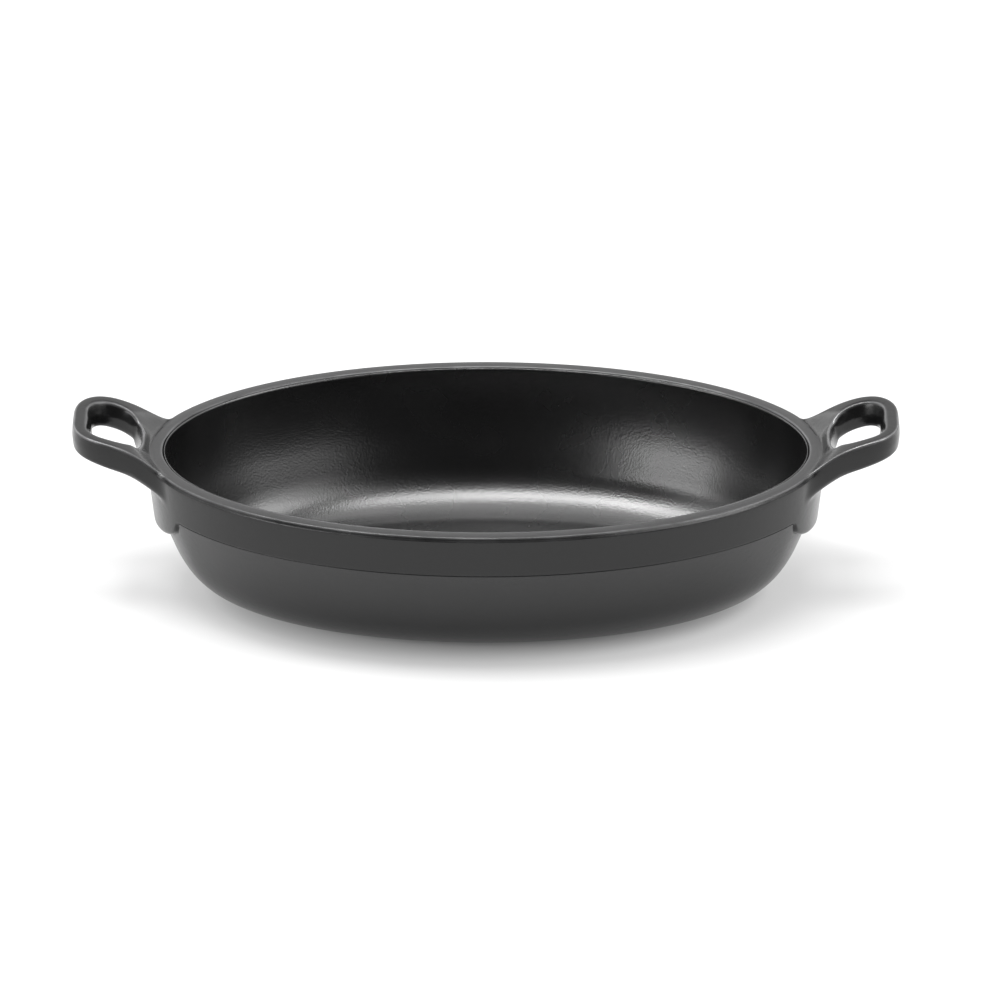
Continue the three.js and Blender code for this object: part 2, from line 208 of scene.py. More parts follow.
class Link:
    """A socket in a node tree, with arithmetic that adds Math nodes."""

    def __init__(self, board, socket):
        self.board = board
        self.socket = socket

    def output(self, name):
        """Another output of the same node."""
        return Link(self.board, self.socket.node.outputs[name])

    def math(self, operation, *values):
        """Math node on the given values."""
        return self.board.node("ShaderNodeMath", dict(enumerate(values)), operation=operation)

    def __add__(self, other):
        return self.math("ADD", self, other)

    def __radd__(self, other):
        return self.math("ADD", other, self)

    def __sub__(self, other):
        return self.math("SUBTRACT", self, other)

    def __rsub__(self, other):
        return self.math("SUBTRACT", other, self)

    def __mul__(self, other):
        return self.math("MULTIPLY", self, other)

    def __rmul__(self, other):
        return self.math("MULTIPLY", other, self)

    def __truediv__(self, other):
        return self.math("DIVIDE", self, other)

    def __rtruediv__(self, other):
        return self.math("DIVIDE", other, self)


class Board:
    """A node tree being filled."""

    def __init__(self, tree):
        self.tree = tree
        tree.nodes.clear()

    def node(self, kind, sockets=None, output=0, stops=(), **settings):
        """Adds a node: its settings or a ramp's stops first, then the values or links of its sockets."""
        node = self.tree.nodes.new(kind)
        for name, value in settings.items():
            setattr(node, name, value)
        for k, (place, level) in enumerate(stops):
            element = node.color_ramp.elements[k]
            element.position = place
            element.color = (level, level, level, 1.0)
        for key, value in (sockets or {}).items():
            if isinstance(value, Link):
                self.tree.links.new(value.socket, node.inputs[key])
            else:
                node.inputs[key].default_value = value
        return Link(self, node.outputs[output]) if node.outputs else None

    def attribute(self, name, output="Fac"):
        """Attribute that the mesh holds."""
        return self.node("ShaderNodeAttribute", attribute_name=name).output(output)

    def tones(self, factor, colour, low, high):
        """Mixes a darker and a lighter tone of one colour."""
        return self.mix(factor, rgba(Vector(colour) * low), rgba(Vector(colour) * high))

    def mix(self, factor, first, second):
        """Mixes two colours."""
        return self.node("ShaderNodeMix", {0: factor, 6: first, 7: second}, 2, data_type="RGBA")

    def noise(self, place, scale, detail=2.0, roughness=0.5):
        """Noise from 0 to 1 on the piece's own coordinates."""
        return self.node("ShaderNodeTexNoise", {
            "Vector": place, "Scale": scale, "Detail": detail, "Roughness": roughness})

    def ramp(self, value, *stops):
        """Grey ramp on a value, from two pairs of place and level."""
        return self.node("ShaderNodeValToRGB", {"Fac": value}, stops=stops)

    def bump(self, height, distance, strength, **under):
        """Bump from a height field, on top of another bump if one is given as Normal."""
        return self.node(
            "ShaderNodeBump", {"Height": height, "Distance": distance, "Strength": strength, **under})


def rgba(colour):
    """Colour with full alpha."""
    return (*colour, 1.0)


def new_material(name):
    """Material with an empty node tree, its board, and the piece's own coordinates."""
    material = bpy.data.materials.new(name)
    material.use_nodes = True
    board = Board(material.node_tree)
    return material, board, board.node("ShaderNodeTexCoord").output("Object")


def finish_material(board, sockets):
    """Ends a material in a Principled shader with the given sockets."""
    shader = board.node("ShaderNodeBsdfPrincipled", sockets)
    board.node("ShaderNodeOutputMaterial", {"Surface": shader})


# Scales of the noise on the cast surface, from coarse to fine.
CLOUD_SCALE, PATCH_SCALE, PIT_SCALE, GRAIN_SCALE = 38.0, 70.0, 420.0, 1500.0
# Streaks on the ground land: slow along the rim, quick across it.
STREAK_SCALE = (60.0, 60.0, 3600.0)
# Darkest and lightest tones, as shares of a colour; the lower wall's tones are painted light, lighter than
# the cast colour because that wall catches light from the floor.
CAST_TONES, PAINTED_WALL_LIGHT_TONES, LAND_TONES = (0.75, 1.25), (3.0, 4.2), (0.6, 1.4)
# How far the roughness varies, and how much rougher the chamfer is.
CLOUD_ROUGH, PIT_ROUGH, STREAK_ROUGH, CHAMFER_ROUGH = 0.1, 0.06, 0.24, 0.02
# Depth and strength of each bump.
PIT_BUMP, GRAIN_BUMP, STREAK_BUMP = (0.0004, 0.16), (0.00016, 0.22), (0.00012, 0.5)
# How far the wear varies with the pits, and how metallic it is.
WEAR_RANGE, WORN_METAL = 0.5, 0.7
# Height over which the lower wall's painted light sets in at the band's foot.
PAINTED_WALL_LIGHT_EDGE = 0.5 * MM
# Ramps: plain, patches of wear, and the lower wall's painted light fading out downwards.
RISING = ((0.0, 0.0), (1.0, 1.0))
PATCHES = ((0.3, 0.25), (0.65, 1.0))
PAINTED_WALL_LIGHT_FADING = ((0.45, 0.0), (1.0, 1.0))


def cast_material(finish, form):
    """Satin cast iron: cloudy dark grey, sand grain, a ground land with streaks, rubbed edges, and painted
    light on the lower wall that fades out downwards.
    """
    material, board, place = new_material("cast_iron_satin")
    wear, ground, drawn, tongue = (board.attribute(name) for name in ("wear", "ground", "drawn", "tongue"))
    height = board.node("ShaderNodeSeparateXYZ", {"Vector": place}).output("Z")
    cloud = board.noise(place, CLOUD_SCALE, 3.0)
    grain = board.noise(place, GRAIN_SCALE, 2.0, 0.6)
    pits = board.noise(place, PIT_SCALE, 3.0, 0.55)
    lay = board.attribute("lay", "Vector")
    stretched = board.node("ShaderNodeVectorMath", {0: lay, 1: STREAK_SCALE}, operation="MULTIPLY")
    streaks = board.noise(stretched, 1.0, 3.0, 0.6)
    patchy = board.ramp(board.noise(place, PATCH_SCALE), *PATCHES)
    rubbed = board.ramp(wear * (1 + WEAR_RANGE * (pits - 0.5)) * patchy, *RISING)
    # Painted light: the lower wall below the band's foot gets a lighter tone that fades out downwards, and
    # the supports are kept out of it.
    below = board.ramp((form.band_foot - height) / PAINTED_WALL_LIGHT_EDGE + 0.5, *RISING)
    lower = below * board.ramp(height / form.band_foot, *PAINTED_WALL_LIGHT_FADING) * (1 - tongue)
    body = board.tones(cloud, finish.cast_colour, *CAST_TONES)
    body = board.mix(lower, body, board.tones(cloud, finish.cast_colour, *PAINTED_WALL_LIGHT_TONES))
    body = board.mix(ground, body, board.tones(streaks, finish.land_colour, *LAND_TONES))
    colour = board.mix(rubbed, body, rgba(finish.worn_colour))
    roughness = finish.cast_roughness + CLOUD_ROUGH * (cloud - 0.5) + PIT_ROUGH * (pits - 0.5)
    roughness += ground * (finish.land_roughness - finish.cast_roughness)
    roughness += drawn * (1 - ground) * CHAMFER_ROUGH + STREAK_ROUGH * drawn * (streaks - 0.5)
    sand = board.bump(grain, *GRAIN_BUMP, Normal=board.bump(pits, *PIT_BUMP))
    finish_material(board, {
        "Base Color": colour, "Roughness": roughness, "Metallic": WORN_METAL * rubbed,
        "Normal": board.bump(streaks * drawn, *STREAK_BUMP, Normal=sand),
        "Specular IOR Level": finish.cast_gloss})
    return material


COAT_IOR = 1.62
COAT_TONES = (0.8, 1.25)
COAT_CLOUD_SCALE, COAT_CLOUD_ROUGH = 45.0, 0.06
PEEL_SCALE, PEEL_BUMP = 1200.0, (0.0001, 0.7)
# Specks of dust: cells, share of the cells without one, size in a cell, grey.
SPECK_SCALE, SPECK_RARITY, SPECK_SIZE, SPECK_GREY = 52.0, 0.93, 0.022, 0.5
# How the dulled finish fades out with the height above the coat's floor, in mm.
DULL_FADE = ((0.05, 1.0), (0.75, 0.0))


def coat_material(finish, floor):
    """Semi-gloss dark coat: fine orange peel, a few specks of dust, and a floor dulled by use."""
    material, board, place = new_material("inner_coat_semi_gloss")
    cloud = board.noise(place, COAT_CLOUD_SCALE, 3.0)
    cells = board.node("ShaderNodeTexVoronoi", {"Vector": place, "Scale": SPECK_SCALE}, feature="F1")
    chance = board.node("ShaderNodeSeparateColor", {"Color": cells.output("Color")})
    lucky = chance.math("GREATER_THAN", chance, SPECK_RARITY)
    speck = cells.math("LESS_THAN", cells, SPECK_SIZE) * lucky
    body = board.tones(cloud, finish.coat_colour, *COAT_TONES)
    sockets = {
        "Base Color": board.mix(speck, body, rgba([SPECK_GREY] * 3)), "IOR": COAT_IOR,
        "Roughness": finish.coat_roughness + COAT_CLOUD_ROUGH * (cloud - 0.5),
        "Normal": board.bump(board.noise(place, PEEL_SCALE, 1.0), *PEEL_BUMP)}
    fresh, dull = (
        board.node("ShaderNodeBsdfPrincipled", {**sockets, "Specular IOR Level": gloss})
        for gloss in (finish.coat_gloss, finish.worn_gloss))
    height = board.node("ShaderNodeSeparateXYZ", {"Vector": place}).output("Z")
    used = board.ramp((height - floor) / MM, *DULL_FADE)
    shader = board.node("ShaderNodeMixShader", {0: used, 1: fresh, 2: dull})
    board.node("ShaderNodeOutputMaterial", {"Surface": shader})
    return material


FLOOR_CLOUD_SCALE, FLOOR_TONES, FLOOR_ROUGHNESS = 1.2, (0.99, 1.0), 0.8
# Reach of the painted shade round the pan in the floor's painted glow, along and across it, as one over
# metres.
PAINTED_SHADE_REACH = (1 / 0.13, 1 / 0.085, 0.0)
# Painted glow from none near the pan to full further out, which leaves a painted shade round the pan.
PAINTED_SHADE_FADE = ((0.6, 0.0), (0.9, 1.0))


def floor_material(finish):
    """Matt pale floor with a very faint unevenness and a painted glow that stands in for light, left out
    round the pan as painted shade.
    """
    material, board, place = new_material("pale_floor")
    cloud = board.noise(place, FLOOR_CLOUD_SCALE)
    scaled = board.node("ShaderNodeVectorMath", {0: place, 1: PAINTED_SHADE_REACH}, operation="MULTIPLY")
    away = board.node("ShaderNodeVectorMath", {0: scaled}, operation="LENGTH").output("Value")
    finish_material(board, {
        "Base Color": board.tones(cloud, finish.floor_colour, *FLOOR_TONES), "Roughness": FLOOR_ROUGHNESS,
        "Emission Color": board.ramp(away, *PAINTED_SHADE_FADE), "Emission Strength": finish.painted_floor_glow})
    return material


# Shares of the support's half width at which columns of the cage stand, past the handle's root.
SUPPORT_COLUMNS = (0.925, 0.965, 0.992, 1.03, 1.11, 1.24)
SIDE_COLUMNS = 12
WEB_COLUMNS = 3
# Rows of the web between the arms, as distance past the hole's inner edge and height above the rim, in mm.
WEB_ROWS = ((-1.3, 3.5), (-0.45, 4.5), (0.35, 4.0), (1.7, -0.3), (2.8, -4.0), (1.6, -7.2))
WEB_RISE = 1.0
# Bulge of a loop's sides towards the parting ridge, from the upper edge to the lower one.
SIDE_BULGE = (0.0, 0.55, 1.0, 0.55, 0.0)
HOLE_BULGE = (0.0, 0.55, 1.0, 1.15, 1.3)
SIDE_SHARES = (0.3, 0.5, 0.7)
# Distance from a handle's underside to the first row of the band below it, in mm.
UNDER_ROOT = 0.9
UNDER_SPREAD = 2.4
GROOVE_WIDTH = 0.00042
GROOVE_LIP = 0.1 * GROOVE_WIDTH
# Rows of the cage, as shares of the band's height, of the land's width and fall, and of the lower wall.
BAND_ROWS = (0.29, 0.46, 0.62)
LAND_ROWS = ((0.3, 0.0), (0.56, 0.0), (0.66, 0.25))
WALL_ROWS = (0.25, 0.5, 0.75)
# Rows above the band's lower edge, and round it inwards and upwards, as shares of its rounding.
FOOT_RISE = (1.5, 0.6)
FOOT_ROUND = ((0.25, 0.16), (0.62, 0.0))
FOOT_LIMIT, FOOT_FALL = 0.9, 0.35
# Run of the chamfer's lower edge, as a share of its rounding.
CHAMFER_RUN = 1.4
# Share of the wall by which the casting's inside lies back behind the coat.
BEHIND = 0.2
# Highest row behind the coat, as shares of that and of the band's height.
HIGH_ROW = (0.6, 0.3)
# Innermost row of the base, as a share of the corner's radius past the corner.
BASE_ROW = 0.6
# Places of an arm's root, as shares of the hole's width, the root's width and the fillet.
ROOT_INNER, ROOT_MIDDLE, ROOT_FLARE = 0.325, 0.4, 0.67
# Share of the loop's reach past which its lower edges are eased towards the root.
SOFT_FROM = 0.7
OUTLINE_STEPS = 24
LOOP_STATIONS = 14
ROOT_SOFTNESS = 2.5
LOOP_REACH = math.radians(116.0)
RIDGE_CREASE = 0.5
CHAMFER_CREASE = 0.8
BEND_PULL = 0.36


def smooth_step(low, high, value):
    """Smooth rise from 0 at low to 1 at high."""
    share = min(max((value - low) / (high - low), 0.0), 1.0)
    return share * share * (3.0 - 2.0 * share)


class PanForm:
    """Insets, heights and outlines of the casting that follow from its settings."""

    def __init__(self, body, handle):
        self.body = body
        self.handle = handle
        self.half_length = body.rim_length / 2
        self.half_width = body.rim_width / 2
        self.band_top = body.rim_height - body.chamfer
        self.band_foot = body.rim_height - body.band_height
        self.land_inner = body.chamfer_width + body.land_width
        self.wall_start = self.band_inset(self.band_foot) + body.band_step
        self.cavity_start = self.wall_start + body.wall_thickness / math.cos(body.wall_draft)
        self.root_inner = ROOT_INNER * handle.hole_width
        self.root_middle = ROOT_MIDDLE * handle.root_width
        self.root_outer = handle.root_width / 2 + ROOT_FLARE * handle.root_fillet
        self.hole_middle = handle.tip - handle.tip_bar - handle.hole_length / 2

    def band_inset(self, z):
        """Inset of the band's face at a height."""
        return (self.band_top - z) * math.tan(self.body.band_draft)

    def wall_inset(self, z):
        """Inset of the lower wall's outside at a height."""
        return self.wall_start + (self.band_foot - z) * math.tan(self.body.wall_draft)

    def corner_rows(self, start, radius, base, steps):
        """Rows down the round between the lower wall and a flat base, from its upper end."""
        draft = self.body.wall_draft
        slope = start + (self.band_foot - base) * math.tan(draft)
        centre = slope + radius * math.tan((math.pi / 2 - draft) / 2)
        angles = (draft + (math.pi / 2 - draft) * step / steps for step in range(steps + 1))
        return [(centre - radius * math.cos(a), base + radius * (1 - math.sin(a))) for a in angles]

    def support_drop(self, across):
        """How far the band's face is carried down under a handle."""
        share = min(across / (self.handle.support_width / 2), 1.0)
        fullness = self.handle.support_fullness
        return self.handle.support_drop * (1 - share ** fullness) ** (1 / fullness)

    def inside_rows(self):
        """Rows behind the coat, from the floor up to the rim."""
        body = self.body
        behind = body.wall_thickness * BEHIND
        radius = body.corner_radius - body.wall_thickness
        start = self.cavity_start - behind
        floor = body.wall_thickness - behind
        corner = self.corner_rows(start, radius, floor, steps=4)
        return [
            (corner[-1][0] + radius, floor),
            *reversed(corner),
            (start, self.band_foot),
            (self.land_inner - HIGH_ROW[0] * behind, body.rim_height - HIGH_ROW[1] * body.band_height),
        ]

    def rim_rows(self):
        """Rows over the inner edge of the rim and its slightly crowned land."""
        body = self.body
        edge = body.inner_edge
        top = body.rim_height
        return [
            (self.land_inner, top - 3 * edge),
            (self.land_inner, top - edge),
            (self.land_inner - edge, top),
            *((self.land_inner - out * body.land_width, top - fall * body.land_fall)
              for out, fall in LAND_ROWS),
        ]

    def band_rows(self, across):
        """Rows from the land's outer edge down the band, raised to the web between the arms."""
        body = self.body
        edge = body.rim_edge
        top = body.rim_height
        soft = body.chamfer_edge
        heights = [self.band_top - soft * CHAMFER_RUN]
        heights += [top - share * body.band_height for share in BAND_ROWS]
        plain = [
            (body.chamfer_width + edge, top - body.land_fall),
            (body.chamfer_width - edge, top - body.land_fall - edge),
            (soft * body.chamfer_width / body.chamfer, self.band_top + soft),
            *((self.band_inset(z), z) for z in heights),
        ]
        root = smooth_step(self.root_middle, self.root_inner, across)
        if root == 0.0:
            return plain
        share = across / self.root_inner
        cosine = math.sqrt(1 - (across / self.half_width) ** 2)
        rows = plain[:1]
        for (inset, z), (past, lift) in zip(plain[1:], WEB_ROWS):
            web = self.half_length - (self.hole_end(across) + past * MM) / cosine
            rise = top + (lift + WEB_RISE * share ** 2) * MM
            rows.append((inset + (web - inset) * root, z + (rise - z) * root))
        return rows

    def hole_end(self, across):
        """How far out the hole's inner end lies, at a distance from the long axis."""
        inner = [(p.y, p.x) for p in self.hole_outline() if p.x < self.hole_middle]
        ys, xs = zip(*sorted(inner))
        return float(np.interp(min(across, self.root_inner), ys, xs))

    def foot_rows(self, across):
        """Rows round the band's lower edge, or the support's, and onto the lower wall."""
        drop = self.support_drop(across)
        share = drop / self.handle.support_drop
        low = self.band_foot - drop
        face = self.band_inset(low)
        wall = self.wall_inset(low)
        edge = max(min(self.handle.support_edge, FOOT_LIMIT * (wall - face)), self.body.foot_edge)
        above = self.body.rim_height - BAND_ROWS[-1] * self.body.band_height
        spread = UNDER_SPREAD * smooth_step(self.root_inner, self.root_outer, across)
        first = above - (UNDER_ROOT + spread) * MM
        upper, lower = (low + rise * edge for rise in FOOT_RISE)
        heights = (first, (first + upper) / 2, upper, lower)
        groove = self.body.foot_groove * (1 - share)
        lip = low - GROOVE_WIDTH
        below = lip - FOOT_FALL * MM - FOOT_FALL * edge
        return [
            *((self.band_inset(z), z) for z in heights),
            *((face + inwards * edge, low + up * edge) for inwards, up in FOOT_ROUND),
            (wall + groove, low - GROOVE_LIP),
            (self.wall_inset(lip) + groove, lip),
            (self.wall_inset(lip), lip - GROOVE_LIP),
            (self.wall_inset(below), below),
        ]

    def column(self, across):
        """All rows of one column, from the floor inside over the rim to the base."""
        inside = self.inside_rows() + self.rim_rows()
        band = self.band_rows(across)
        foot = self.foot_rows(across)
        corner = self.corner_rows(self.wall_start, self.body.corner_radius, 0.0, steps=6)
        start, end = foot[-1][1], corner[0][1]
        wall = [(self.wall_inset(z), z) for z in (start + (end - start) * share for share in WALL_ROWS)]
        self.patch_top = len(inside)
        self.patch_bottom = len(inside) + len(band) - 1
        base = (corner[-1][0] + self.body.corner_radius * BASE_ROW, 0.0)
        return inside + band + foot + wall + corner + [base]

    def column_angles(self):
        """Angles of the cage's columns round the oval, from the right end on, a quarter at a time."""
        web = [self.root_inner * k / WEB_COLUMNS for k in range(WEB_COLUMNS + 1)]
        beyond = [share * self.handle.support_width / 2 for share in SUPPORT_COLUMNS]
        places = web + [self.root_middle, self.root_outer] + beyond
        quarter = [math.asin(place / self.half_width) for place in places]
        last = quarter[-1]
        quarter += [last + (math.pi / 2 - last) * k / SIDE_COLUMNS for k in range(1, SIDE_COLUMNS + 1)]
        half = quarter + [math.pi - angle for angle in reversed(quarter[:-1])]
        return half[:-1] + [angle + math.pi for angle in half[:-1]]

    def oval(self, angle, inset, z):
        """Point on the oval that lies an inset inside the rim's outline."""
        x = (self.half_length - inset) * math.cos(angle)
        return Vector((x, (self.half_width - inset) * math.sin(angle), z))

    def loop_top(self, x):
        """Height of the handle's top, an arc that levels out near the tip."""
        handle = self.handle
        away = max(handle.tip - handle.tip_crown - x, 0.0)
        return handle.top - handle.top_radius + math.sqrt(handle.top_radius ** 2 - away ** 2)

    def loop_bottom(self, x):
        """Height of the handle's underside."""
        handle = self.handle
        x = max(x, self.half_length - handle.root_fillet)
        share = (x - self.half_length) / (handle.tip - self.half_length)
        return self.loop_top(x) - handle.root_depth - (handle.tip_depth - handle.root_depth) * share

    def hole_outline(self):
        """Half of the finger hole's outline in plan, from its inner end to its outer end."""
        handle = self.handle
        outer = handle.tip - handle.tip_bar
        inner = outer - handle.hole_length
        side = handle.hole_width / 2
        cut = 1 - math.sqrt(0.5)
        inner_cut = handle.hole_inner_radius * cut
        outer_cut = handle.hole_outer_radius * cut
        quarter = math.pi / 4
        return outline(
            ((inner, 0.0), 2 * quarter),
            ((inner + inner_cut, side - inner_cut), quarter),
            ((inner + handle.hole_inner_radius, side), 0.0),
            ((outer - outer_cut, side - outer_cut), -quarter),
            ((outer, 0.0), -2 * quarter),
        )

    def loop_outline(self):
        """Half of the handle's outline in plan, from where it leaves the rim to its tip."""
        handle = self.handle
        root = handle.root_width / 2

        def side(x):
            return root - (x - self.half_length) * math.tan(handle.taper)

        fillet_y = root + handle.root_fillet
        rim_x = self.half_length * math.sqrt(1 - (fillet_y / self.half_width) ** 2)
        fillet_x = rim_x - self.body.chamfer_width
        rim_slope = math.atan2(-fillet_x * self.half_width ** 2, fillet_y * self.half_length ** 2)
        side_x = self.half_length + handle.root_fillet
        corner_x = handle.tip - handle.tip_crown - handle.corner_radius
        corner_y = side(corner_x) - handle.corner_radius / math.cos(handle.taper)
        half_turn = (math.pi / 2 - handle.taper) / 2
        corner = (
            corner_x + handle.corner_radius * math.cos(half_turn),
            corner_y + handle.corner_radius * math.sin(half_turn),
        )
        return outline(
            ((fillet_x, fillet_y), rim_slope + handle.root_turn),
            ((side_x, side(side_x)), -handle.taper),
            (corner, half_turn - math.pi / 2),
            ((handle.tip, 0.0), -math.pi / 2),
        )

    def loop_section(self, hole, edge, soft):
        """Points round the loop's section at one station, its lower edges eased by a softness."""
        handle = self.handle
        hole, edge = Vector(hole), Vector(edge)
        across = (edge - hole).normalized()

        def at(plan, share):
            top = self.loop_top(plan.x)
            return Vector((plan.x, plan.y, top + (self.loop_bottom(plan.x) - top) * share))

        inner = hole + across * handle.hole_edge
        outer = edge - across * (handle.edge + handle.side_ridge)
        middle = (inner + outer) / 2

        def side(start, ridge, rounding, bulges):
            first = rounding / handle.root_depth
            shares = (first, *SIDE_SHARES, 1 - first - soft / handle.root_depth)
            return [at(start + ridge * bulge, share) for share, bulge in zip(shares, bulges)]

        outside = side(edge - across * handle.side_ridge, across * handle.side_ridge, handle.edge, SIDE_BULGE)
        inside = side(hole, -across * handle.hole_ridge, handle.hole_edge, HOLE_BULGE)
        top = [at(inner, 0.0), at(middle, 0.0), at(outer, 0.0)]
        under = outer - across * soft
        lower = inner - across * handle.hole_ridge * HOLE_BULGE[-1]
        bottom = [at(under, 1.0), at((under + lower) / 2, 1.0), at(lower, 1.0)]
        return top + outside + bottom + inside[::-1]

    def loop_sections(self):
        """Sections of the right handle's loop, from its front arm round the tip to its rear arm."""
        middle = self.hole_middle
        radii = [polar(points, middle) for points in (self.hole_outline(), self.loop_outline())]
        sections = []
        for k in range(-LOOP_STATIONS, LOOP_STATIONS + 1):
            angle = LOOP_REACH * k / LOOP_STATIONS
            reaches = (float(np.interp(abs(angle), *pair)) for pair in radii)
            ends = [(middle + reach * math.cos(angle), reach * math.sin(angle)) for reach in reaches]
            soft = ROOT_SOFTNESS * MM * smooth_step(SOFT_FROM * LOOP_REACH, LOOP_REACH, abs(angle))
            sections.append(self.loop_section(*ends, soft))
        return sections


def outline(*knots):
    """Smooth line in plan through knots, each a point and a direction."""
    points = []
    for (start, leaving), (end, arriving) in zip(knots, knots[1:]):
        first, last = Vector((*start, 0.0)), Vector((*end, 0.0))
        pull = (last - first).length * BEND_PULL
        ahead = first + pull * Vector((math.cos(leaving), math.sin(leaving), 0.0))
        back = last - pull * Vector((math.cos(arriving), math.sin(arriving), 0.0))
        points += interpolate_bezier(first, ahead, back, last, OUTLINE_STEPS)[:-1]
    return points + [Vector((*knots[-1][0], 0.0))]


def polar(points, middle):
    """Angles and lengths of an outline about a point on the long axis, by rising angle."""
    pairs = sorted((math.atan2(p.y, p.x - middle), math.hypot(p.x - middle, p.y)) for p in points)
    return tuple(zip(*pairs))


def root_ring(form, grid, middle, side):
    """Corners of the opening in the band that an arm grows out of, in the order of a section."""
    count = len(grid)
    inner, centre, outer = ((middle + side * (WEB_COLUMNS + k)) % count for k in range(3))
    top, bottom = form.patch_top, form.patch_bottom
    sides = range(top + 1, bottom)
    return (
        [grid[c][top] for c in (inner, centre, outer)]
        + [grid[outer][row] for row in sides]
        + [grid[c][bottom] for c in (outer, centre, inner)]
        + [grid[inner][row] for row in reversed(sides)]
    )


def cage_mesh(form):
    """Cage of the whole casting: the oval body, and two loops bridged to openings in its band."""
    bm = bmesh.new()
    crease = bm.edges.layers.float.new("crease_edge")
    angles = form.column_angles()
    count = len(angles)
    grid = []
    for angle in angles:
        rows = form.column(abs(form.half_width * math.sin(angle)))
        grid.append([bm.verts.new(form.oval(angle, inset, z)) for inset, z in rows])
    floor_pole = bm.verts.new((0.0, 0.0, grid[0][0].co.z))
    base_pole = bm.verts.new((0.0, 0.0, grid[0][-1].co.z))
    openings = set()
    for middle in (0, count // 2):
        for column in (WEB_COLUMNS, WEB_COLUMNS + 1):
            openings |= {(middle + column) % count, (middle - column - 1) % count}
    for i in range(count):
        here, ahead = grid[i], grid[(i + 1) % count]
        bm.faces.new((here[0], floor_pole, ahead[0]))
        bm.faces.new((here[-1], ahead[-1], base_pole))
        for row in range(len(here) - 1):
            if i in openings and form.patch_top <= row < form.patch_bottom:
                continue
            bm.faces.new((here[row], ahead[row], ahead[row + 1], here[row + 1]))
    for middle, spin in ((0, 0.0), (count // 2, math.pi)):
        spun = Matrix.Rotation(spin, 3, "Z")
        rings = [root_ring(form, grid, middle, -1)]
        rings += [[bm.verts.new(spun @ point) for point in points] for points in form.loop_sections()]
        rings.append(root_ring(form, grid, middle, 1))
        bridge_rings(bm, rings, crease)
    for i in range(count):
        across = min(abs(form.half_width * math.sin(angles[k % count])) for k in (i, i + 1))
        if across > form.root_outer - MM:
            for row in (form.patch_top + 1, form.patch_top + 2):
                edge = bm.edges.get((grid[i][row], grid[(i + 1) % count][row]))
                edge[crease] = CHAMFER_CREASE
    bmesh.ops.delete(bm, geom=[v for v in bm.verts if not v.link_faces], context="VERTS")
    bmesh.ops.recalc_face_normals(bm, faces=bm.faces)
    mesh = bpy.data.meshes.new("casting_cage")
    bm.to_mesh(mesh)
    bm.free()
    return mesh


def bridge_rings(bm, rings, crease):
    """Faces between neighbouring rings, with a crease along the ridge inside the hole."""
    ridge = len(rings[0]) - len(SIDE_BULGE) // 2 - 1
    for ring, following in zip(rings, rings[1:]):
        for k in range(len(ring)):
            after = (k + 1) % len(ring)
            bm.faces.new((ring[k], ring[after], following[after], following[k]))
        bm.edges.get((ring[ridge], following[ridge]))[crease] = RIDGE_CREASE


def placed(name, data):
    """New object in the scene."""
    item = bpy.data.objects.new(name, data)
    bpy.context.collection.objects.link(item)
    return item


def realised(source, name):
    """Plain mesh object from an object with modifiers, which is removed."""
    graph = bpy.context.evaluated_depsgraph_get()
    mesh = bpy.data.meshes.new_from_object(source.evaluated_get(graph))
    mesh.name = name
    bpy.data.objects.remove(source)
    mesh.shade_smooth()
    return placed(name, mesh)


def vectors(items, key):
    """Array of a vector that each item of a mesh holds."""
    flat = np.empty(len(items) * 3)
    items.foreach_get(key, flat)
    return flat.reshape(-1, 3)


def store(mesh, **layers):
    """Stores values on the points of a mesh, as attributes of the given names."""
    for name, values in layers.items():
        kind, key = ("FLOAT_VECTOR", "vector") if values.ndim == 2 else ("FLOAT", "value")
        layer = mesh.attributes.new(name, kind, "POINT")
        layer.data.foreach_set(key, values.astype(np.float32).ravel())


def outward_bend(mesh, places, normals):
    """How sharply the surface bends outwards at each point, eased over its neighbours."""
    count = len(places)
    ends = np.empty(len(mesh.edges) * 2, dtype=np.int64)
    mesh.edges.foreach_get("vertices", ends)
    first, last = ends.reshape(-1, 2).T
    step = places[last] - places[first]
    span = np.maximum(np.linalg.norm(step, axis=1), 1e-9)
    turn_out = np.einsum("ij,ij->i", step, normals[last] - normals[first]) / span ** 2
    bend = np.zeros(count)
    for verts in (first, last):
        np.maximum.at(bend, verts, turn_out)
    links = np.bincount(ends, minlength=count)
    for _ in range(2):
        total = np.bincount(first, bend[last], count) + np.bincount(last, bend[first], count)
        bend = 0.5 * bend + 0.5 * total / links
    return bend


# Radii in mm of an edge that is fully rubbed and of one that is not, and the share of wear on the rim.
WORN_RADII, RIM_WEAR = (0.8, 4.0), 0.4
# How far in mm a support stands out where the lower wall's painted light stops on it, and over how much that
# changes.
TONGUE_START, TONGUE_EDGE = 0.05, 0.1
# Leeway in mm for the height of the land and of the chamfer, and the least upward normal of the land.
LAND_LEEWAY, RIM_LEEWAY, LEVEL_NORMAL = 0.4, 0.2, 0.95
# Share of the rim's outline up to which the chamfer is streaked.
STREAK_REACH = 1.01


